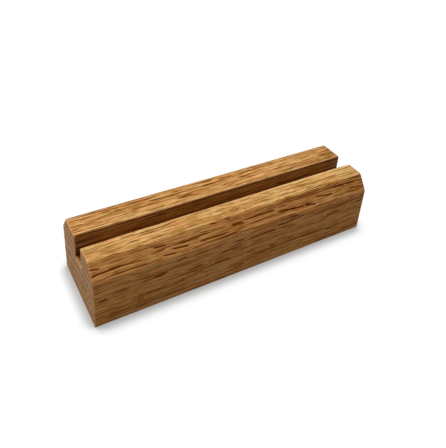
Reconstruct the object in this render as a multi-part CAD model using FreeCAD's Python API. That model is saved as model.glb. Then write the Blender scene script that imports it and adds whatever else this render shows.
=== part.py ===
import FreeCAD, Part
import math
import os

# A wooden photo block holder, in millimetres: one bar of solid oak that stands on its flat underside
# and grips the lower edge of a photo panel in a slot. It has no other pieces and nothing moves.
# X runs along the bar, the front faces -Y and +Z is up. The origin is the middle of the underside.

# Bar
bar_length = 150.0
bar_depth = 42.0
bar_height = 33.0

# Bevels planed along the top edges, alike at the front and the back
bevel_run = 5.7
bevel_drop = 7.7

# Slot for the panel, open at the top and at both ends, with its centre line forward of the middle
slot_width = 7.8
slot_depth = 11.6
slot_forward = 1.6

# Eased edges: each bevel's upper edge, its lower edge, the slot's lips with the two foot edges, and the
# rims of both ends
crest_radius = 0.9
shoulder_radius = 2.0
ease_radius = 0.6
rim_radius = 0.5


def rounded_corner(before, corner, after, radius):
    """The two tangent points and the middle of the arc that rounds one corner of an outline."""
    back_way = (before - corner).normalize()
    next_way = (after - corner).normalize()
    half_angle = back_way.getAngle(next_way) / 2
    setback = radius / math.tan(half_angle)
    start = corner + back_way * setback
    end = corner + next_way * setback
    inward = (back_way + next_way).normalize()
    middle = corner + inward * (radius / math.sin(half_angle) - radius)
    return start, middle, end


def outline_wire(corners):
    """Closed wire through (y, z, radius) corners, in the plane of the left end."""
    points = [FreeCAD.Vector(-bar_length / 2, y, z) for y, z, radius in corners]
    radii = [radius for y, z, radius in corners]
    arcs = []
    for index, corner in enumerate(points):
        after = points[(index + 1) % len(points)]
        if radii[index] > 0:
            arcs.append(rounded_corner(points[index - 1], corner, after, radii[index]))
        else:
            arcs.append((corner, corner, corner))
    edges = []
    for index, (start, middle, end) in enumerate(arcs):
        next_start = arcs[(index + 1) % len(arcs)][0]
        if radii[index] > 0:
            edges.append(Part.Arc(start, middle, end).toShape())
        edges.append(Part.LineSegment(end, next_start).toShape())
    return Part.Wire(edges)


def bar_section():
    """House-shaped section of the bar: two upright sides, two bevels, and the slot between two lands."""
    front = -bar_depth / 2
    back = bar_depth / 2
    shoulder = bar_height - bevel_drop
    slot_front = -slot_forward - slot_width / 2
    slot_back = slot_front + slot_width
    slot_floor = bar_height - slot_depth
    return outline_wire([
        (front, 0, ease_radius),
        (back, 0, ease_radius),
        (back, shoulder, shoulder_radius),
        (back - bevel_run, bar_height, crest_radius),
        (slot_back, bar_height, ease_radius),
        (slot_back, slot_floor, 0),
        (slot_front, slot_floor, 0),
        (slot_front, bar_height, ease_radius),
        (front + bevel_run, bar_height, crest_radius),
        (front, shoulder, shoulder_radius),
    ])


def end_rims(bar):
    """Every edge around the two end faces, which are the only faces that don't run along the bar."""
    ends = [face for face in bar.Faces if face.BoundBox.XLength < bar_length / 2]
    return [edge for face in ends for edge in face.Edges]


def oak_block():
    """The whole bar: its section carried along the grain, with both end rims eased."""
    bar = Part.Face(bar_section()).extrude(FreeCAD.Vector(bar_length, 0, 0))
    return bar.makeFillet(rim_radius, end_rims(bar))


os.makedirs("parts", exist_ok=True)
oak_block().exportStep("parts/oak_block.step")
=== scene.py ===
import math
from collections import namedtuple

import bpy
from mathutils import Matrix, Vector, noise
from mathutils.geometry import delaunay_2d_cdt


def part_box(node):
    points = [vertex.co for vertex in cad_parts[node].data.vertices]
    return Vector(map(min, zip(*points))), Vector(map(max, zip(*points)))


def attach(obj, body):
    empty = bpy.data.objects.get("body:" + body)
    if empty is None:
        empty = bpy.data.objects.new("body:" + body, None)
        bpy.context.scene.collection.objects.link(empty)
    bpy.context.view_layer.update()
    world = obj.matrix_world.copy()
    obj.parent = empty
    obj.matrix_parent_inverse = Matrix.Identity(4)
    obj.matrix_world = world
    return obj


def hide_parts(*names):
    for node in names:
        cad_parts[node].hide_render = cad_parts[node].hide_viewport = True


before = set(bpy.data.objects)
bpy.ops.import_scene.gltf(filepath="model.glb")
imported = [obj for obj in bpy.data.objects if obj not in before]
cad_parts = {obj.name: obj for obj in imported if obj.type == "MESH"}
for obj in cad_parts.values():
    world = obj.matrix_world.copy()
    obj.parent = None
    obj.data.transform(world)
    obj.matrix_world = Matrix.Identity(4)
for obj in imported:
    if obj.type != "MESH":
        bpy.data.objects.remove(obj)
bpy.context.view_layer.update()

# One bar of oiled oak with a slot along its top, standing on a white floor. Axes are the frame's: X along the
# grain, -Y the front, +Z up. Lengths are in metres, or in millimetres where a name ends in _MM.
MM = 0.001

block_low, block_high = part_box("oak_block")
BAR_LENGTH = block_high[0] - block_low[0]
BAR_DEPTH = block_high[1] - block_low[1]
BAR_HEIGHT = block_high[2] - block_low[2]

# The section's own sizes, as the solid has them
BEVEL_RUN = 5.7 * MM
BEVEL_DROP = 7.7 * MM
SLOT_WIDTH = 7.8 * MM
SLOT_DEPTH = 11.6 * MM
SLOT_FORWARD = 1.6 * MM
CREST_RADIUS = 0.9 * MM
SHOULDER_RADIUS = 2.0 * MM
EASE_RADIUS = 0.6 * MM
RIM_RADIUS = 0.5 * MM

# Mesh steps: across the grain on the faces with open streaks, on plain ones and underneath, then along the
# grain and over an end, and the number of steps round an edge and a rim
STREAK_STEP = 0.25 * MM
PLAIN_STEP = 0.7 * MM
HIDDEN_STEP = 1.4 * MM
LENGTH_STEP = 0.9 * MM
END_STEP = 1.2 * MM
ARC_STEPS = 6
RIM_STEPS = 4
# Points nearer than this count as one where an end is filled
TRIANGULATION_SLACK_MM = 1e-6
# An edge that turns by more degrees than this is drawn sharp
SHARP_ANGLE = 40

# Relief, always into the wood. Hand sanding wore the eased edges, unevenly along them, and wore them most
# beside the ends. The planed faces aren't quite even either, and some pores lie open as streaks. The shifts
# set one noise apart from the next.
EDGE_WEAR = 0.12 * MM
EDGE_WEAR_MEAN = 0.55
EDGE_WEAR_SWING = 0.45
EDGE_WAVE_LENGTH = 9 * MM
EDGE_WAVE_WIDTH = 6 * MM
CORNER_WEAR = 0.35 * MM
CORNER_REACH = 1.2 * MM
FACE_WEAR = 0.05 * MM
FACE_WAVE_LENGTH = 35 * MM
FACE_WAVE_WIDTH = 9 * MM
FACE_WAVE_SHIFT = 5
STREAK_DEPTH = 0.14 * MM
STREAK_TAPER_SHARE = 0.2
STREAK_WOBBLE = 0.22 * MM
STREAK_WOBBLE_LENGTH = 5 * MM
STREAK_WOBBLE_SHIFT = 7.3

# Open streaks in the grain that stand out. Each is its face, its start and end as shares of the bar's length
# from the left, its start and end as shares of the face's width below its upper edge, and its half width
# in millimetres.
STREAK_SHARES = [
    ("front_bevel", 0.000, 0.031, 0.35, 0.42, 0.34),
    ("front_bevel", 0.000, 0.100, 0.64, 0.59, 0.26),
    ("front_bevel", 0.050, 0.167, 0.88, 0.84, 0.24),
    ("front_bevel", 0.188, 0.235, 0.29, 0.35, 0.34),
    ("front_bevel", 0.178, 0.228, 0.55, 0.51, 0.24),
    ("front_bevel", 0.245, 0.303, 0.61, 0.72, 0.36),
    ("front_bevel", 0.264, 0.380, 0.48, 0.43, 0.34),
    ("front_bevel", 0.333, 0.445, 0.67, 0.73, 0.32),
    ("front_bevel", 0.454, 0.496, 0.46, 0.51, 0.46),
    ("front_bevel", 0.497, 0.622, 0.41, 0.43, 0.44),
    ("front_bevel", 0.620, 0.734, 0.55, 0.73, 0.42),
    ("front_bevel", 0.736, 0.781, 0.70, 0.81, 0.44),
    ("front_bevel", 0.785, 0.860, 0.46, 0.59, 0.38),
    ("front_bevel", 0.861, 0.918, 0.26, 0.33, 0.44),
    ("front_bevel", 0.921, 0.962, 0.31, 0.37, 0.26),
    ("front", 0.181, 0.228, 0.31, 0.29, 0.42),
    ("front", 0.287, 0.347, 0.44, 0.41, 0.34),
    ("front", 0.384, 0.443, 0.51, 0.51, 0.32),
    ("front", 0.458, 0.492, 0.17, 0.15, 0.38),
    ("front", 0.507, 0.556, 0.21, 0.19, 0.34),
    ("front", 0.558, 0.615, 0.19, 0.18, 0.34),
    ("front", 0.618, 0.734, 0.13, 0.09, 0.34),
    ("front", 0.620, 0.668, 0.50, 0.48, 0.30),
    ("front", 0.805, 0.868, 0.34, 0.33, 0.28),
    ("front", 0.836, 0.871, 0.70, 0.71, 0.30),
    ("front", 0.014, 0.040, 0.44, 0.41, 0.42),
    ("back_land", 0.076, 0.140, 0.48, 0.40, 0.40),
    ("back_land", 0.141, 0.163, 0.28, 0.28, 0.38),
    ("back_land", 0.148, 0.213, 0.66, 0.58, 0.28),
    ("back_land", 0.215, 0.290, 0.58, 0.45, 0.26),
    ("back_land", 0.232, 0.298, 0.85, 0.77, 0.26),
    ("back_land", 0.514, 0.590, 0.61, 0.62, 0.30),
    ("front_land", 0.130, 0.163, 0.59, 0.63, 0.34),
    ("front_land", 0.190, 0.216, 0.26, 0.27, 0.28),
    ("front_land", 0.458, 0.506, 0.66, 0.65, 0.34),
    ("front_land", 0.785, 0.820, 0.57, 0.66, 0.34),
    ("front_land", 0.882, 0.911, 0.52, 0.54, 0.26),
    ("front_bevel", 0.215, 0.260, 0.77, 0.86, 0.28),
    ("front_bevel", 0.380, 0.405, 0.09, 0.13, 0.28),
    ("front_bevel", 0.433, 0.458, 0.10, 0.10, 0.26),
    ("front_bevel", 0.634, 0.667, 0.38, 0.38, 0.26),
    ("front_bevel", 0.843, 0.859, 0.57, 0.57, 0.30),
    ("front_bevel", 0.933, 0.982, 0.57, 0.65, 0.28),
    ("front", 0.252, 0.290, 0.14, 0.09, 0.30),
    ("front", 0.130, 0.153, 0.74, 0.70, 0.34),
    ("front", 0.502, 0.542, 0.54, 0.53, 0.28),
    ("front", 0.593, 0.625, 0.57, 0.60, 0.30),
    ("front", 0.458, 0.507, 0.81, 0.79, 0.30),
    ("front", 0.898, 0.919, 0.26, 0.24, 0.28),
    ("front", 0.667, 0.720, 0.65, 0.64, 0.26),
    ("back_land", 0.046, 0.076, 0.58, 0.63, 0.28),
    ("back_land", 0.345, 0.368, 0.19, 0.22, 0.28),
    ("back_land", 0.389, 0.419, 0.68, 0.66, 0.26),
    ("back_land", 0.604, 0.653, 0.59, 0.62, 0.26),
    ("back_land", 0.743, 0.778, 0.51, 0.53, 0.28),
    ("back_land", 0.852, 0.905, 0.42, 0.40, 0.40),
    ("back_land", 0.940, 0.982, 0.84, 0.84, 0.26),
    ("front_land", 0.062, 0.088, 0.47, 0.43, 0.26),
    ("front_land", 0.206, 0.234, 0.74, 0.74, 0.26),
    ("front_land", 0.347, 0.437, 0.85, 0.85, 0.24),
    ("front_land", 0.419, 0.449, 0.47, 0.43, 0.26),
    ("front_land", 0.509, 0.546, 0.83, 0.83, 0.26),
    ("front_land", 0.593, 0.634, 0.80, 0.80, 0.26),
    ("front_land", 0.618, 0.657, 0.33, 0.38, 0.26),
    ("front_land", 0.697, 0.724, 0.78, 0.78, 0.26),
    ("front_land", 0.919, 0.951, 0.56, 0.65, 0.28),
]

# How pale the eased edges are beside the faces, a painted highlight: palest at the slot's lips and the left
# rim, which faces the lamp. Below 0 they are darker: painted shade on both feet and the right rim, and darker
# on the back crest.
FRONT_LIP_HIGHLIGHT = 1.6
BACK_LIP_HIGHLIGHT = 3.2
LIP_REACH = 1.3 * MM
FOOT_SHADE = -2.0
BACK_CREST_TONE = -8.0
LEFT_RIM_HIGHLIGHT = 4.5
RIGHT_RIM_SHADE = -3.5
# As shares of a rim's tone: where the rim starts, how much more where it ends, and how much more half way
RIM_TONE_START = 0.15
RIM_TONE_GAIN = 0.55
RIM_TONE_BULGE = 0.6
# How far forward the back lip has to face to count as sawn, and how far back the back crest has to face to
# be dark
WALL_FACING = 0.6
CREST_FACING = 0.3

# The map that holds the surface's colours when they are drawn on a picture: two columns for the long faces,
# each half the way round the section, and both ends side by side below them
ENDS_SHARE = 0.27
MAP_GAP_SHARE = 0.004

# Camera.
CAMERA_AIM = Vector((6.79, 19.02, 67.98)) * MM
CAMERA_DISTANCE = 273.0 * MM
CAMERA_AZIMUTH = -32.25
CAMERA_ELEVATION = 28.86
CAMERA_ROLL = 4.28
CAMERA_LENS_MM = 44.47
CAMERA_SHIFT_SHARE = -0.25
CAMERA_NEAR = 0.01
CAMERA_FAR = 20


# Section outline

Corner = namedtuple("Corner", "face y z rounding step")
Spot = namedtuple("Spot", "place outward roundness face share")


def section_corners():
    """The section's corners, anticlockwise from the front foot, each with the face that follows it."""
    front = -BAR_DEPTH / 2
    back = BAR_DEPTH / 2
    shoulder = BAR_HEIGHT - BEVEL_DROP
    slot_front = -SLOT_FORWARD - SLOT_WIDTH / 2
    slot_back = slot_front + SLOT_WIDTH
    slot_floor = BAR_HEIGHT - SLOT_DEPTH
    return [
        Corner("underside", front, 0, EASE_RADIUS, HIDDEN_STEP),
        Corner("back", back, 0, EASE_RADIUS, PLAIN_STEP),
        Corner("back_bevel", back, shoulder, SHOULDER_RADIUS, PLAIN_STEP),
        Corner("back_land", back - BEVEL_RUN, BAR_HEIGHT, CREST_RADIUS, STREAK_STEP),
        Corner("slot_back", slot_back, BAR_HEIGHT, EASE_RADIUS, PLAIN_STEP),
        Corner("slot_floor", slot_back, slot_floor, 0, PLAIN_STEP),
        Corner("slot_front", slot_front, slot_floor, 0, PLAIN_STEP),
        Corner("front_land", slot_front, BAR_HEIGHT, EASE_RADIUS, STREAK_STEP),
        Corner("front_bevel", front + BEVEL_RUN, BAR_HEIGHT, CREST_RADIUS, STREAK_STEP),
        Corner("front", front, shoulder, SHOULDER_RADIUS, STREAK_STEP),
    ]


def corner_arc(before, corner, after, radius):
    """The points round one corner, as (place, outward direction, roundness). A sharp one is a single point.
    Roundness is the most half way round, and the less the corner turns, the lower it is."""
    back_way = (before - corner).normalized()
    next_way = (after - corner).normalized()
    half_angle = back_way.angle(next_way) / 2
    inward = (back_way + next_way).normalized()
    if radius == 0:
        return [(corner, inward / math.sin(half_angle), 0.0)]
    centre = corner + inward * (radius / math.sin(half_angle))
    setback = radius / math.tan(half_angle)
    fullness = min(1.0, (math.pi - 2 * half_angle) / (math.pi / 2))
    first = (corner + back_way * setback - centre).normalized()
    last = (corner + next_way * setback - centre).normalized()
    arc = []
    for step in range(ARC_STEPS + 1):
        share = step / ARC_STEPS
        spoke = first.slerp(last, share).normalized()
        arc.append((centre + spoke * radius, spoke, fullness * math.sin(math.pi * share)))
    return arc


def section_spots():
    """Every point round the section, with the face it is on and its share of the way across that face."""
    corners = section_corners()
    places = [Vector((corner.y, corner.z)) for corner in corners]
    count = len(corners)
    arcs = [
        corner_arc(places[k - 1], places[k], places[(k + 1) % count], corners[k].rounding)
        for k in range(count)
    ]
    spots = []
    for k, corner in enumerate(corners):
        run = places[(k + 1) % count] - places[k]
        across = run.normalized()
        outward = Vector((across.y, -across.x))
        start = arcs[k][-1][0]
        end = arcs[(k + 1) % count][0][0]
        pieces = max(1, round((end - start).length / corner.step))
        stretch = arcs[k] + [(start.lerp(end, j / pieces), outward, 0.0) for j in range(1, pieces)]
        for place, away, roundness in stretch:
            share = (place - places[k]).dot(across) / run.length
            spots.append(Spot(place, away, roundness, corner.face, share))
    return spots


def face_widths():
    """How wide each face is, between its two corners."""
    corners = section_corners()
    widths = {}
    for corner, after in zip(corners, corners[1:] + corners[:1]):
        widths[corner.face] = math.hypot(after.y - corner.y, after.z - corner.z)
    return widths


FACE_WIDTHS = face_widths()


# Relief

def streak_at(x, spot):
    """How deep in an open streak a point is, from 0 to 1."""
    share = (x + BAR_LENGTH / 2) / BAR_LENGTH
    deepest = 0.0
    for row, (face, start, end, start_down, end_down, half_width) in enumerate(STREAK_SHARES):
        if face != spot.face or not start < share < end:
            continue
        way = (share - start) / (end - start)
        wave = noise.noise(Vector((x / STREAK_WOBBLE_LENGTH, row * STREAK_WOBBLE_SHIFT, 0)))
        middle = (start_down + (end_down - start_down) * way) * FACE_WIDTHS[face] + STREAK_WOBBLE * wave
        off = (spot.share * FACE_WIDTHS[face] - middle) / (half_width * MM)
        taper = min(1.0, way / STREAK_TAPER_SHARE, (1 - way) / STREAK_TAPER_SHARE)
        deepest = max(deepest, math.exp(-off * off) * math.sqrt(taper))
    return deepest


def wave_at(x, spot, length, width, shift=0.0):
    """Smooth noise from -1 to 1 over the bar, in waves of about this length and width."""
    y, z = spot.place
    return noise.noise(Vector((x / length, y / width, z / width + shift)))


def relief(x, spot, streak):
    """How far a point lies inside the planed section."""
    edge_wave = wave_at(x, spot, EDGE_WAVE_LENGTH, EDGE_WAVE_WIDTH)
    face_wave = wave_at(x, spot, FACE_WAVE_LENGTH, FACE_WAVE_WIDTH, FACE_WAVE_SHIFT)
    edge_wear = EDGE_WEAR * (EDGE_WEAR_MEAN + EDGE_WEAR_SWING * edge_wave)
    corner_wear = CORNER_WEAR * math.exp((abs(x) - BAR_LENGTH / 2) / CORNER_REACH)
    face_wear = FACE_WEAR * (0.5 + 0.5 * face_wave)
    return (edge_wear + corner_wear) * spot.roundness + face_wear + STREAK_DEPTH * streak


# Tones that the mesh carries to its material

def in_slot(spot):
    """Whether a point counts as sawn: the slot's walls and floor, the part of the rounded back lip that faces
    forward, and the line where that lip starts."""
    if spot.face == "slot_back" and spot.roundness > 0:
        return spot.outward.x < -WALL_FACING
    return spot.face.startswith("slot") and spot.roundness == 0


def edge_highlight_and_shade(spot):
    """How pale a point of the section is beside a plain face: a painted highlight, most along the lips, and
    below 0 painted shade on the feet and darker on the back crest.
    """
    if in_slot(spot):
        return 0.0
    if spot.place.y < EASE_RADIUS:
        return FOOT_SHADE * spot.roundness
    if spot.face == "back_land" and spot.outward.x > CREST_FACING:
        return BACK_CREST_TONE * spot.roundness
    if spot.place.y < BAR_HEIGHT - EASE_RADIUS:
        return spot.roundness
    from_middle = spot.place.x + SLOT_FORWARD
    from_lip = (abs(from_middle) - SLOT_WIDTH / 2) / LIP_REACH
    lip_tone = BACK_LIP_HIGHLIGHT if from_middle > 0 else FRONT_LIP_HIGHLIGHT
    return spot.roundness + lip_tone * math.exp(-from_lip * from_lip)


def rim_highlight_and_shade(x, rim):
    """How pale the rounded rim of an end is at a share rim of the way round it: a painted highlight on the
    left end, which faces the lamp, and painted shade on the right one. The long faces have none.
    """
    if abs(x) < BAR_LENGTH / 2 - RIM_RADIUS - LENGTH_STEP / 2:
        return 0.0
    tone = LEFT_RIM_HIGHLIGHT if x < 0 else RIGHT_RIM_SHADE
    return tone * (RIM_TONE_START + RIM_TONE_GAIN * rim + RIM_TONE_BULGE * math.sin(math.pi * rim))


# Mesh

Point = namedtuple("Point", "place streak edge rim sawn")


def side_point(x, inset, spot):
    """One point of the swept section. Relief fades out over the rim, which ends on the end's flat face."""
    rim = inset / RIM_RADIUS
    streak = streak_at(x, spot)
    place = spot.place - spot.outward * (inset + relief(x, spot, streak) * (1 - rim * rim))
    return Point(
        place=(x, place.x, place.y),
        streak=streak * (1 - rim),
        edge=edge_highlight_and_shade(spot),
        rim=rim_highlight_and_shade(x, rim),
        sawn=in_slot(spot) * (1 - rim),
    )


def ring_stations():
    """Places along the bar as (x, inset of the rounded rim)."""
    half = BAR_LENGTH / 2 - RIM_RADIUS
    rim = []
    for k in range(RIM_STEPS):
        turn = math.pi / 2 * k / RIM_STEPS
        rim.append((half + RIM_RADIUS * math.cos(turn), RIM_RADIUS * (1 - math.sin(turn))))
    count = round(2 * half / LENGTH_STEP)
    stations = [(-x, inset) for x, inset in rim]
    stations += [(-half + 2 * half * k / count, 0.0) for k in range(count + 1)]
    return stations + list(reversed(rim))


def running_total(steps):
    """How far each place is from the first, given the steps between them."""
    total = [0.0]
    for step in steps:
        total.append(total[-1] + step)
    return total


def side_map(along_share, round_share, column):
    """Where a point of the long faces lies on the map. Column is 0 for the first half of the way round."""
    width = 0.5 - 2 * MAP_GAP_SHARE
    height = 1 - ENDS_SHARE - 3 * MAP_GAP_SHARE
    return (
        0.5 * column + MAP_GAP_SHARE + width * along_share,
        ENDS_SHARE + MAP_GAP_SHARE + height * (2 * round_share - column),
    )


def side_faces(spots, stations):
    """Quads between neighbouring stations, and their corners on the map."""
    count = len(spots)
    round_way = running_total((spots[(k + 1) % count].place - spots[k].place).length for k in range(count))
    long_way = running_total(
        math.hypot(next_x - x, next_inset - inset)
        for (x, inset), (next_x, next_inset) in zip(stations, stations[1:])
    )
    faces = []
    map_corners = []
    for j in range(len(stations) - 1):
        for k in range(count):
            after = (k + 1) % count
            faces.append((j * count + k, j * count + after, (j + 1) * count + after, (j + 1) * count + k))
            column = 0 if round_way[k] < round_way[-1] / 2 else 1
            for ring, way in ((j, k), (j, k + 1), (j + 1, k + 1), (j + 1, k)):
                along_share = long_way[ring] / long_way[-1]
                map_corners.append(side_map(along_share, round_way[way] / round_way[-1], column))
    return faces, map_corners


def inside_section(y, z, margin):
    """Whether a point of the section lies at least margin inside its outline."""
    side = BAR_DEPTH / 2 - abs(y)
    top = BAR_HEIGHT - z
    slope = math.hypot(BEVEL_RUN, BEVEL_DROP)
    from_bevel = (side * BEVEL_DROP + top * BEVEL_RUN - BEVEL_RUN * BEVEL_DROP) / slope
    near_slot = abs(y + SLOT_FORWARD) < SLOT_WIDTH / 2 + margin and top < SLOT_DEPTH + margin
    return min(side, top, z, from_bevel) > margin and not near_slot


def end_lattice():
    """Points spread over an end face, clear of its rim."""
    rows = round(BAR_HEIGHT / END_STEP)
    columns = round(BAR_DEPTH / END_STEP)
    points = []
    for row in range(rows + 1):
        for column in range(columns + 1):
            y = -BAR_DEPTH / 2 + BAR_DEPTH * (column + 0.5 * (row % 2)) / columns
            z = BAR_HEIGHT * row / rows
            if inside_section(y, z, RIM_RADIUS + END_STEP / 2):
                points.append(Vector((y, z)))
    return points


def end_triangles(outline, lattice):
    """Triangles that fill an end, as indices into the outline's points and then the lattice's."""
    loop = [(k, (k + 1) % len(outline)) for k in range(len(outline))]
    # The triangulation works in millimetres, where its rounding is far below any feature
    points = [point / MM for point in outline + lattice]
    inside_only = 1
    found = delaunay_2d_cdt(points, loop, [], inside_only, TRIANGULATION_SLACK_MM)
    faces, sources = found[2], found[3]
    return [[sources[k][0] for k in face] for face in faces]


def end_map(y, z, side):
    """Where a point of an end lies on the map. Side is 0 for the left end and 1 for the right one."""
    scale = (ENDS_SHARE - 2 * MAP_GAP_SHARE) / BAR_HEIGHT
    return (
        MAP_GAP_SHARE + 0.5 * side + scale * (y + BAR_DEPTH / 2),
        MAP_GAP_SHARE + scale * z,
    )


def build_bar():
    """The bar's mesh: its section swept along the grain, with relief, rounded rims and both ends closed."""
    spots = section_spots()
    stations = ring_stations()
    points = [side_point(x, inset, spot) for x, inset in stations for spot in spots]
    faces, map_corners = side_faces(spots, stations)
    lattice = end_lattice()
    for side, station in enumerate((0, len(stations) - 1)):
        x = stations[station][0]
        ring = range(station * len(spots), (station + 1) * len(spots))
        outline = [Vector(points[k].place[1:]) for k in ring]
        owners = [*ring, *range(len(points), len(points) + len(lattice))]
        points += [Point((x, *place), 0.0, 0.0, 0.0, 0.0) for place in lattice]
        for triangle in end_triangles(outline, lattice):
            face = [owners[k] for k in triangle]
            if side == 0:
                face.reverse()
            faces.append(tuple(face))
            map_corners += [end_map(*points[k].place[1:], side) for k in face]
    data = bpy.data.meshes.new("oak_bar")
    data.from_pydata([point.place for point in points], [], faces)
    data.uv_layers.new(name="OFBake")
    data.uv_layers["OFBake"].data.foreach_set("uv", [number for corner in map_corners for number in corner])
    for name in ("streak", "edge", "rim", "sawn"):
        values = [getattr(point, name) for point in points]
        data.attributes.new(name, "FLOAT", "POINT").data.foreach_set("value", values)
    data.shade_smooth()
    data.set_sharp_from_angle(angle=math.radians(SHARP_ANGLE))
    bar = bpy.data.objects.new("oak_bar", data)
    bpy.context.scene.collection.objects.link(bar)
    return bar


# Shader nodes

class Tree:
    """A short way to write shader nodes: each call adds one node and returns the output that is read next."""

    def __init__(self, nodes, links):
        self.nodes = nodes
        self.links = links

    def add(self, kind, **settings):
        node = self.nodes.new(kind)
        for name, value in settings.items():
            setattr(node, name, value)
        return node

    def feed(self, socket, value):
        if isinstance(value, bpy.types.NodeSocket):
            self.links.new(value, socket)
        else:
            socket.default_value = value

    def math(self, operation, first, second=None, clamp=False):
        node = self.add("ShaderNodeMath", operation=operation, use_clamp=clamp)
        self.feed(node.inputs[0], first)
        if second is not None:
            self.feed(node.inputs[1], second)
        return node.outputs[0]

    def vector(self, operation, first, second=None):
        node = self.add("ShaderNodeVectorMath", operation=operation)
        self.feed(node.inputs[0], first)
        if second is not None:
            self.feed(node.inputs[1], second)
        return node.outputs["Value" if operation == "LENGTH" else "Vector"]

    def noise(self, vector, detail=1.0, roughness=0.5, colour=False):
        node = self.add("ShaderNodeTexNoise")
        self.feed(node.inputs["Vector"], vector)
        node.inputs["Scale"].default_value = 1.0
        node.inputs["Detail"].default_value = detail
        node.inputs["Roughness"].default_value = roughness
        return node.outputs["Color" if colour else "Fac"]

    def part(self, vector, axis):
        node = self.add("ShaderNodeSeparateXYZ")
        self.feed(node.inputs[0], vector)
        return node.outputs[axis]

    def attribute(self, name):
        return self.add("ShaderNodeAttribute", attribute_name=name).outputs["Fac"]

    def ramp(self, factor, *stops):
        """Greys or colours at places from 0 to 1, blended between them."""
        node = self.add("ShaderNodeValToRGB")
        self.feed(node.inputs["Fac"], factor)
        elements = node.color_ramp.elements
        while len(elements) < len(stops):
            elements.new(1.0)
        for element, (place, value) in zip(elements, stops):
            element.position = place
            element.color = (value, value, value, 1) if isinstance(value, float) else (*value, 1)
        return node.outputs["Color"]

    def spread(self, value, low, high, to_low=0.0, to_high=1.0):
        """value carried smoothly from low..high to to_low..to_high, and held at its ends."""
        node = self.add("ShaderNodeMapRange", interpolation_type="SMOOTHSTEP")
        self.feed(node.inputs["Value"], value)
        for name, number in (("From Min", low), ("From Max", high), ("To Min", to_low), ("To Max", to_high)):
            self.feed(node.inputs[name], number)
        return node.outputs["Result"]

    def mix(self, factor, first, second, blend="MIX"):
        node = self.add("ShaderNodeMix", data_type="RGBA", blend_type=blend, clamp_factor=True)
        self.feed(node.inputs["Factor"], factor)
        for socket, value in ((node.inputs[6], first), (node.inputs[7], second)):
            self.feed(socket, value if isinstance(value, bpy.types.NodeSocket) else (*value, 1))
        return node.outputs[2]

    def sum(self, *terms):
        """The sum of terms, each a value or a (value, weight) pair."""
        total = 0.0
        for term in terms:
            if isinstance(term, tuple):
                term = self.math("MULTIPLY", *term)
            total = self.math("ADD", term, total)
        return total

    def tint(self, share, colour, tint):
        """colour, with that share of it multiplied by tint."""
        return self.mix(share, colour, self.mix(1.0, colour, tint, "MULTIPLY"))


def new_material(name):
    material = bpy.data.materials.new(name)
    material.use_nodes = True
    material.node_tree.nodes.clear()
    return material, Tree(material.node_tree.nodes, material.node_tree.links)


# The wood's patterns. Each has the length and the height of its cells. From front to back a cell is this many
# times as wide as it is high.
FLATNESS = 1.45
WIDE_PORE_MM = (15.0, 0.62)
NARROW_PORE_MM = (10.0, 0.42)
FINE_PORE_MM = (6.0, 0.32)
FIBRE_MM = (15.0, 0.36)
LINE_MM = (60, 0.46)
TONE_MM = (40, 2.2)
PATCH_MM = (12, 3.0)
RAGGED_MM = (4.0, 0.4)
# The same for how the grain strays sideways, and how far it strays
SLOW_STRAY_MM = (70, 18, 4.0)
QUICK_STRAY_MM = (16, 4, 0.9)
# Cells of the rays and of the ends' flecks: along the bar, across it and up
RAY_MM = (6, 9, 0.4)
END_RAY_MM = (6, 0.4, 8)
FLECK_MM = (4, 3.2, 0.8)
FLECK_DETAIL = 2.0
# How rough the noise of the fibres, the lines and the flecks is, and the value that a noise lies about
FINE_ROUGHNESS = 0.6
NOISE_MIDDLE = 0.5

# Pore radii as shares of a cell's height, from the dense wood of a ring to its open wood for the wide ones,
# then how much single pores differ and stray, how soft their wall is, and where the pale sheath round it lies
WIDE_PORE_RADII = (0.30, 0.42)
NARROW_PORE_RADIUS = 0.40
FINE_PORE_RADIUS = 0.36
PORE_DIFFERENCE = (0.6, 1.3)
PORE_SCATTER = 0.85
PORE_WALL = 0.07
SHEATH_DEPTHS = (-0.22, -0.06)

# Growth rings: where their centre lies, how far from it each ring starts, and how open the wood is through
# a ring
PITH_Y_MM = -12.0
PITH_Z_MM = -140.0
RING_STARTS_MM = (134.0, 138.6, 143.7, 147.8, 151.2, 156.4, 162.4, 167.0, 171.2, 176.0)
OPENNESS = ((0.0, 1.0), (0.20, 0.8), (0.38, 0.25), (0.8, 0.1), (0.95, 0.2), (1.0, 1.0))

# The value at which a pattern starts to count, and the one at which it counts in full
DARK_LINE_RANGE = (0.36, 0.47)
RAY_RANGE = (0.60, 0.72)
END_RAY_RANGE = (0.52, 0.68)
STREAK_RANGE = (0.20, 0.50)
PATCH_RANGE = (0.32, 0.68)

# How much each pattern lightens or darkens the wood, about a base
GRAIN_BASE = -1.365
GRAIN_WEIGHTS = {
    "fibre": 0.90,
    "lines": 1.55,
    "dark_lines": 0.15,
    "tone": 0.30,
    "open": -0.04,
    "wide": -0.20,
    "wide_sheath": 0.10,
    "narrow": -0.26,
    "narrow_sheath": 0.08,
    "fine": -0.11,
    "fine_sheath": 0.04,
    "rays": 0.05,
    # The edge and rim tones: painted highlight, and painted shade where they are below 0
    "edge": 0.08,
    "rim": 0.08,
}
# A tone that changes from the front of the bar to its back, added to the grain on the long faces
FRONT_TO_BACK_TONE = (
    (0.13, 0.50),
    (0.19, 0.46),
    (0.28, 0.50),
    (0.37, 0.55),
    (0.56, 0.41),
    (0.70, 0.35),
    (0.84, 0.37),
    (0.95, 0.48),
)
# How dark an open streak is, how much less so on the top, and how ragged its sides are
STREAK_SHADE = -0.80
STREAK_TOP_SHADE = 0.26
STREAK_RAGGEDNESS = 0.4
# How much the contrast about the middle tone changes on the top and in the sawn slot. Below 0 it falls.
MIDDLE_TONE = 0.5
TOP_CONTRAST = -0.12
SAWN_CONTRAST = -0.3
# The same patterns on the ends
END_BASE = 0.08
END_CONTRAST = 0.8
END_FLECK = 0.85
END_OPEN = -0.30
END_RAY = 0.16

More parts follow.
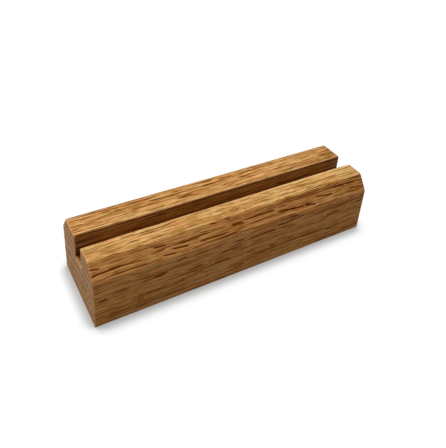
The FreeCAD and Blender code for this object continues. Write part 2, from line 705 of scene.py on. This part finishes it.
# Wood colours from the darkest pore to the palest fibre, on the long faces and on the ends
LONG_GRAIN = (
    (0.00, (0.11, 0.024, 0.002)),
    (0.20, (0.27, 0.072, 0.007)),
    (0.36, (0.43, 0.148, 0.024)),
    (0.50, (0.56, 0.218, 0.049)),
    (0.64, (0.68, 0.293, 0.082)),
    (0.85, (0.86, 0.420, 0.145)),
)
END_GRAIN = (
    (0.00, (0.14, 0.048, 0.013)),
    (0.30, (0.34, 0.146, 0.042)),
    (0.55, (0.55, 0.272, 0.088)),
    (0.85, (0.76, 0.440, 0.165)),
)
# Redder and greener patches, a few millimetres across, and how much redder the back half of the board is
WARM_PATCH = (1.03, 0.94, 0.90)
COOL_PATCH = (0.97, 1.03, 0.95)
BACK_WARMTH = ((0.5, 0.0), (0.66, 1.0), (0.84, 1.0), (0.95, 0.0))
BACK_WARMTH_SHADE = -0.12
# A painted lit tint: the top and back face the lamp and are made yellower than the sides; how much the back
# shares of it
LIT_FACE_TINT = (0.92, 1.165, 1.40)
BACK_SHARE = 0.8
# Eased edges, made whiter partly as sanded fibres are and mostly as a painted highlight, in full at this
# tone. A rim's tone counts half.
EDGE_HIGHLIGHT_TINT = (1.04, 1.14, 1.36)
EDGE_FULL_TONE = 2.0
RIM_SHARE = 0.5
# How far a surface has to face up, back or to an end before it starts to look so, and to look so in full
UPWARD_RANGE = (0.7, 0.97)
BACKWARD_RANGE = (0.2, 0.6)
ENDWARD_RANGE = (0.55, 0.9)

# The slot as it was sawn, and where it is darkened: painted shade low on the walls, half as much on the
# floor, and beside the ends, and a dark line just under the lips
SAWN_TINT = (0.76, 0.89, 0.86)
SLOT_DARK_TINT = (0.34, 0.25, 0.20)
WALL_SHADE_HEIGHTS_MM = (23.0, 27.5)
FLOOR_SHADE_SHARE = 0.5
DARK_LIP_HEIGHTS_MM = (31.4, 32.2)
DARK_LIP_SHARE = 0.9
END_SHADE_REACH_MM = (60.0, 75.0)
END_SHADE_SHARE = 0.3
# Dark saw marks low on the walls beside the ends: how far apart they are, and where they fade above the floor
SLOT_FLOOR_MM = (BAR_HEIGHT - SLOT_DEPTH) / MM
SAW_MARK_STEP_MM = 2.05
SAW_MARK_TOP_MM = (5.0, 6.0)
SAW_MARK_SHARE = 0.8
# Where the painted shade leaves the floor again at the ends, which the light reaches
PALE_FLOOR_REACH_MM = (73.0, 74.8)
PALE_FLOOR_SHARE = -0.4
# How far the slot has to face up to start to count as floor, and to count in full: for how much painted shade
# it has, and for its pale ends
FLOOR_SHADE_RANGE = (0.0, 0.5)
PALE_FLOOR_RANGE = (0.5, 0.9)

# Finish: a dull oil, duller in the wide pores, and how far each pattern stands out or lies open
ROUGHNESS = 0.5
PORE_ROUGHNESS = 0.2
SPECULAR = 0.05
BUMP_STRENGTH = 0.5
BUMP_HEIGHT = 0.10 * MM
BUMP_WEIGHTS = {"wide": -1.0, "fine": -0.4, "fibre": 0.8, "streak": -0.6}


# Oak

def cells(tree, place, length, height):
    """place, counted in cells of this length and height in millimetres."""
    return tree.vector("MULTIPLY", place, (1 / length, 1 / (height * FLATNESS), 1 / height))


def box_cells(tree, place, sizes):
    """place, counted in cells of these three sizes in millimetres."""
    return tree.vector("MULTIPLY", place, [1 / size for size in sizes])


def stray(tree, place, length, height, reach):
    """How far the grain strays sideways, in millimetres."""
    waves = tree.noise(cells(tree, place, length, height), colour=True)
    middle = (NOISE_MIDDLE, NOISE_MIDDLE, NOISE_MIDDLE)
    return tree.vector("MULTIPLY", tree.vector("SUBTRACT", waves, middle), (0, reach, reach))


def pores(tree, place, sizes, radius):
    """Separate tubes along the grain, as (core, pale sheath). Each has its own radius."""
    tubes = tree.add("ShaderNodeTexVoronoi", voronoi_dimensions="3D", feature="F1")
    tree.feed(tubes.inputs["Vector"], cells(tree, place, *sizes))
    tubes.inputs["Scale"].default_value = 1.0
    tubes.inputs["Randomness"].default_value = PORE_SCATTER
    parts = tree.add("ShaderNodeSeparateColor")
    tree.feed(parts.inputs[0], tubes.outputs["Color"])
    bore = tree.math("MULTIPLY", radius, tree.spread(parts.outputs[0], 0.0, 1.0, *PORE_DIFFERENCE))
    depth = tree.math("SUBTRACT", bore, tubes.outputs["Distance"])
    core = tree.spread(depth, 0.0, PORE_WALL)
    sheath = tree.math("MULTIPLY", tree.spread(depth, *SHEATH_DEPTHS), tree.math("SUBTRACT", 1.0, core))
    return core, sheath


def open_wood(tree, place):
    """1 in the open wood that starts each ring, down to nearly 0 in the dense wood that follows it."""
    spoke = tree.vector("MULTIPLY", tree.vector("SUBTRACT", place, (0, PITH_Y_MM, PITH_Z_MM)), (0, 1, 1))
    low, high = RING_STARTS_MM[0], RING_STARTS_MM[-1]
    distance = tree.math("DIVIDE", tree.math("SUBTRACT", tree.vector("LENGTH", spoke), low), high - low)
    last = len(RING_STARTS_MM) - 1
    ages = (((start - low) / (high - low), k / last) for k, start in enumerate(RING_STARTS_MM))
    phase = tree.math("FRACT", tree.math("MULTIPLY", tree.ramp(distance, *ages), last))
    return tree.ramp(phase, *OPENNESS)


def grain_patterns(tree, place):
    """The patterns of the wood and the tones of its edges, by name."""
    opened = open_wood(tree, place)
    wide, wide_sheath = pores(tree, place, WIDE_PORE_MM, tree.spread(opened, 0.0, 1.0, *WIDE_PORE_RADII))
    narrow, narrow_sheath = pores(tree, place, NARROW_PORE_MM, NARROW_PORE_RADIUS)
    fine, fine_sheath = pores(tree, place, FINE_PORE_MM, FINE_PORE_RADIUS)
    lines = tree.noise(cells(tree, place, *LINE_MM), roughness=FINE_ROUGHNESS)
    ragged = tree.math("SUBTRACT", tree.noise(cells(tree, place, *RAGGED_MM)), NOISE_MIDDLE)
    streak = tree.sum(tree.attribute("streak"), (ragged, STREAK_RAGGEDNESS))
    return {
        "fibre": tree.noise(cells(tree, place, *FIBRE_MM), roughness=FINE_ROUGHNESS),
        "lines": lines,
        "dark_lines": tree.spread(lines, *DARK_LINE_RANGE),
        "tone": tree.noise(cells(tree, place, *TONE_MM)),
        "open": opened,
        "wide": wide,
        "wide_sheath": wide_sheath,
        "narrow": narrow,
        "narrow_sheath": narrow_sheath,
        "fine": fine,
        "fine_sheath": fine_sheath,
        "rays": tree.spread(tree.noise(box_cells(tree, place, RAY_MM)), *RAY_RANGE),
        "edge": tree.attribute("edge"),
        "rim": tree.attribute("rim"),
        "streak": tree.spread(streak, *STREAK_RANGE),
    }


def weighed(patterns, weights):
    """The (pattern, weight) pairs that Tree.sum takes."""
    return [(patterns[name], weight) for name, weight in weights.items()]


def patched(tree, colour, warmth):
    """colour with its redder and greener patches."""
    low, high = PATCH_RANGE
    return tree.mix(1.0, colour, tree.ramp(warmth, (low, WARM_PATCH), (high, COOL_PATCH)), "MULTIPLY")


def long_colour(tree, patterns, grain, front_to_back_tone, warmth, facing, sawn):
    """The colour of the long faces as they were planed, with a painted yellower lit tint where they face the
    lamp and painted highlight and shade along their edges.
    """
    upward = tree.math("SUBTRACT", tree.spread(tree.part(facing, "Z"), *UPWARD_RANGE), sawn, clamp=True)
    back_facing = tree.spread(tree.part(facing, "Y"), *BACKWARD_RANGE, 0.0, BACK_SHARE)
    backward = tree.math("SUBTRACT", back_facing, sawn, clamp=True)
    streak = patterns["streak"]
    on_top = tree.math("MULTIPLY", streak, upward)
    filled = tree.sum(1.0, (streak, STREAK_SHADE), (on_top, STREAK_TOP_SHADE))
    shade = tree.math("MULTIPLY", tree.sum(grain, front_to_back_tone), filled)
    from_middle = tree.math("SUBTRACT", shade, MIDDLE_TONE)
    strong = tree.math("MULTIPLY", from_middle, upward)
    faint = tree.math("MULTIPLY", from_middle, sawn)
    colour = tree.ramp(tree.sum(shade, (strong, TOP_CONTRAST), (faint, SAWN_CONTRAST)), *LONG_GRAIN)
    colour = patched(tree, colour, warmth)
    # Painted light: the faces towards the lamp tinted yellower
    colour = tree.tint(tree.math("MAXIMUM", upward, backward), colour, LIT_FACE_TINT)
    # Painted highlight: eased edges, lips and the left rim tinted whiter
    tone = tree.math("MAXIMUM", patterns["edge"], tree.math("MULTIPLY", patterns["rim"], RIM_SHARE))
    return tree.tint(tree.spread(tone, 0.0, EDGE_FULL_TONE), colour, EDGE_HIGHLIGHT_TINT)


def end_colour(tree, place, patterns, grain, warmth):
    """The colour of the end grain, with its flecks, rings and rays."""
    fleck = tree.noise(box_cells(tree, place, FLECK_MM), detail=FLECK_DETAIL, roughness=FINE_ROUGHNESS)
    rays = tree.spread(tree.noise(box_cells(tree, place, END_RAY_MM)), *END_RAY_RANGE)
    shade = tree.sum(
        (grain, END_CONTRAST),
        (fleck, END_FLECK),
        (patterns["open"], END_OPEN),
        (rays, END_RAY),
        END_BASE,
    )
    return patched(tree, tree.ramp(shade, *END_GRAIN), warmth)


def slot_shade_and_marks(tree, surface, facing):
    """How dark the slot is at a place on the surface: painted shade low on its walls and beside the ends, a
    dark line under the lips, and dark saw marks.
    """
    height = tree.part(surface, "Z")
    reach = tree.math("ABSOLUTE", tree.part(surface, "X"))
    low_part = tree.spread(height, *WALL_SHADE_HEIGHTS_MM, 1.0, 0.0)
    floor_part = tree.spread(tree.part(facing, "Z"), *FLOOR_SHADE_RANGE, 1.0, FLOOR_SHADE_SHARE)
    lip_part = tree.spread(height, *DARK_LIP_HEIGHTS_MM)
    near_end = tree.spread(reach, *END_SHADE_REACH_MM)
    above_floor = tree.math("SUBTRACT", height, SLOT_FLOOR_MM)
    marks = tree.math("SINE", tree.math("MULTIPLY", above_floor, 2 * math.pi / SAW_MARK_STEP_MM))
    marks = tree.math("MULTIPLY", marks, tree.spread(above_floor, *SAW_MARK_TOP_MM, 1.0, 0.0))
    floor_facing = tree.spread(tree.part(facing, "Z"), *PALE_FLOOR_RANGE)
    floor_end = tree.math("MULTIPLY", floor_facing, tree.spread(reach, *PALE_FLOOR_REACH_MM))
    return tree.sum(
        (low_part, floor_part),
        (lip_part, DARK_LIP_SHARE),
        (near_end, END_SHADE_SHARE),
        (tree.math("MULTIPLY", marks, near_end), SAW_MARK_SHARE),
        (floor_end, PALE_FLOOR_SHARE),
    )


def oak_material():
    """Oak worked out from the place in the bar, so that grain, pores and rings run on round its edges."""
    material, tree = new_material("oak")
    coordinates = tree.add("ShaderNodeTexCoord")
    facing = coordinates.outputs["Normal"]
    surface = tree.vector("MULTIPLY", coordinates.outputs["Object"], (1 / MM, 1 / MM, 1 / MM))
    slow = stray(tree, surface, *SLOW_STRAY_MM)
    quick = stray(tree, surface, *QUICK_STRAY_MM)
    place = tree.vector("ADD", tree.vector("ADD", surface, slow), quick)

    patterns = grain_patterns(tree, place)
    grain = tree.sum(GRAIN_BASE, *weighed(patterns, GRAIN_WEIGHTS))
    from_front = tree.math("ADD", tree.part(surface, "Y"), BAR_DEPTH / MM / 2)
    depth_share = tree.math("DIVIDE", from_front, BAR_DEPTH / MM)
    patch = tree.noise(cells(tree, place, *PATCH_MM))
    warmth = tree.sum(patch, (tree.ramp(depth_share, *BACK_WARMTH), BACK_WARMTH_SHADE))

    sawn = tree.attribute("sawn")
    front_to_back_tone = tree.ramp(depth_share, *FRONT_TO_BACK_TONE)
    planed = long_colour(tree, patterns, grain, front_to_back_tone, warmth, facing, sawn)
    # Painted shade in the slot, with a dark line under the lips and saw marks
    slot = tree.mix(
        slot_shade_and_marks(tree, surface, facing),
        tree.mix(1.0, planed, SAWN_TINT, "MULTIPLY"),
        tree.mix(1.0, planed, SLOT_DARK_TINT, "MULTIPLY"),
    )
    endward = tree.spread(tree.math("ABSOLUTE", tree.part(facing, "X")), *ENDWARD_RANGE)
    end = end_colour(tree, place, patterns, grain, warmth)

    shader = tree.add("ShaderNodeBsdfPrincipled")
    tree.feed(shader.inputs["Base Color"], tree.mix(endward, tree.mix(sawn, planed, slot), end))
    tree.feed(shader.inputs["Roughness"], tree.sum((patterns["wide"], PORE_ROUGHNESS), ROUGHNESS))
    shader.inputs["Specular IOR Level"].default_value = SPECULAR
    bump = tree.add("ShaderNodeBump")
    tree.feed(bump.inputs["Height"], tree.sum(*weighed(patterns, BUMP_WEIGHTS)))
    bump.inputs["Strength"].default_value = BUMP_STRENGTH
    bump.inputs["Distance"].default_value = BUMP_HEIGHT
    tree.links.new(bump.outputs["Normal"], shader.inputs["Normal"])
    output = tree.add("ShaderNodeOutputMaterial")
    tree.links.new(shader.outputs["BSDF"], output.inputs["Surface"])
    return material


# Studio: white to the eye, softer as a light
WHITE = (1, 1, 1, 1)
FILL = 0.32
FLOOR_GREY = (0.25, 0.25, 0.25, 1)
FLOOR_SIZE = 4.0
# The shadow that the eye sees: mostly a dark line close round the foot, and a share of the lamps' own
HALO_REACH = 7.8 * MM
HALO_DEPTH = 0.46
# How open to its surroundings the floor is where that line is darkest, and where it ends
HALO_OPENNESS = (0.5, 1.0)
HALO_SAMPLES = 16
SHADOW_SHARE = 0.1
OPEN_FLOOR = 1.06
# The lamp's place, the length of its sides and its power
KEY_PLACE = Vector((-0.25, 0.42, 1.0))
KEY_SIZE = 0.6
KEY_WATTS = 9.6


def seen_directly(tree):
    """1 for what the camera sees, also in a reflection or through glass, and 0 for light on surfaces."""
    path = tree.add("ShaderNodeLightPath")
    seen = tree.math("MAXIMUM", path.outputs["Is Camera Ray"], path.outputs["Is Glossy Ray"])
    return tree.math("MAXIMUM", seen, path.outputs["Is Transmission Ray"])


def make_world():
    """A white surround that lights the bar as a dim one would."""
    world = bpy.data.worlds.new("studio")
    world.use_nodes = True
    world.node_tree.nodes.clear()
    tree = Tree(world.node_tree.nodes, world.node_tree.links)
    background = tree.add("ShaderNodeBackground")
    tree.feed(background.inputs["Strength"], tree.spread(seen_directly(tree), 0.0, 1.0, FILL, 1.0))
    background.inputs["Color"].default_value = WHITE
    output = tree.add("ShaderNodeOutputWorld")
    tree.links.new(background.outputs[0], output.inputs["Surface"])
    bpy.context.scene.world = world


def floor_material():
    """White with the bar's shadow to the eye, and grey to the light that it throws back."""
    material, tree = new_material("floor")
    dim = tree.add("ShaderNodeBsdfDiffuse")
    dim.inputs["Color"].default_value = FLOOR_GREY
    pale = tree.add("ShaderNodeBsdfDiffuse")
    pale.inputs["Color"].default_value = WHITE
    near = tree.add("ShaderNodeAmbientOcclusion", samples=HALO_SAMPLES)
    near.inputs["Distance"].default_value = HALO_REACH
    glow = tree.add("ShaderNodeEmission")
    brightness = tree.spread(near.outputs["AO"], *HALO_OPENNESS, HALO_DEPTH, OPEN_FLOOR)
    tree.feed(glow.inputs["Strength"], brightness)
    shown = tree.add("ShaderNodeMixShader")
    shown.inputs["Fac"].default_value = SHADOW_SHARE
    tree.links.new(glow.outputs[0], shown.inputs[1])
    tree.links.new(pale.outputs[0], shown.inputs[2])
    both = tree.add("ShaderNodeMixShader")
    tree.feed(both.inputs["Fac"], seen_directly(tree))
    tree.links.new(dim.outputs[0], both.inputs[1])
    tree.links.new(shown.outputs[0], both.inputs[2])
    output = tree.add("ShaderNodeOutputMaterial")
    tree.links.new(both.outputs[0], output.inputs["Surface"])
    return material


def make_floor():
    """The floor that the bar stands on, level with its underside."""
    half = FLOOR_SIZE / 2
    data = bpy.data.meshes.new("floor")
    corners = [(-half, -half, 0), (half, -half, 0), (half, half, 0), (-half, half, 0)]
    data.from_pydata(corners, [], [(0, 1, 2, 3)])
    data.materials.append(floor_material())
    floor = bpy.data.objects.new("floor", data)
    bpy.context.scene.collection.objects.link(floor)


def make_key():
    """One large soft lamp above and behind the bar."""
    data = bpy.data.lights.new("key", "AREA")
    data.shape = "SQUARE"
    data.size = KEY_SIZE
    data.energy = KEY_WATTS
    lamp = bpy.data.objects.new("key", data)
    lamp.location = KEY_PLACE
    lamp.rotation_euler = (-KEY_PLACE).to_track_quat("-Z", "Y").to_euler()
    bpy.context.scene.collection.objects.link(lamp)


def make_camera():
    """The photo's camera."""
    azimuth, elevation, roll = (math.radians(a) for a in (CAMERA_AZIMUTH, CAMERA_ELEVATION, CAMERA_ROLL))
    back = Vector((
        math.sin(azimuth) * math.cos(elevation),
        -math.cos(azimuth) * math.cos(elevation),
        math.sin(elevation),
    ))
    level_right = Vector((math.cos(azimuth), math.sin(azimuth), 0))
    level_up = back.cross(level_right)
    right = level_right * math.cos(roll) + level_up * math.sin(roll)
    up = level_up * math.cos(roll) - level_right * math.sin(roll)
    data = bpy.data.cameras.new("camera")
    data.lens = CAMERA_LENS_MM
    data.shift_y = CAMERA_SHIFT_SHARE
    data.clip_start = CAMERA_NEAR
    data.clip_end = CAMERA_FAR
    camera = bpy.data.objects.new("camera", data)
    bpy.context.scene.collection.objects.link(camera)
    turn = Matrix((right, up, back)).transposed().to_4x4()
    camera.matrix_world = Matrix.Translation(CAMERA_AIM + back * CAMERA_DISTANCE) @ turn
    bpy.context.scene.camera = camera


bar = build_bar()
bar.data.materials.append(oak_material())
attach(bar, "root")
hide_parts("oak_block")

make_world()
make_floor()
make_key()
make_camera()
bpy.context.scene.view_settings.view_transform = "Standard"
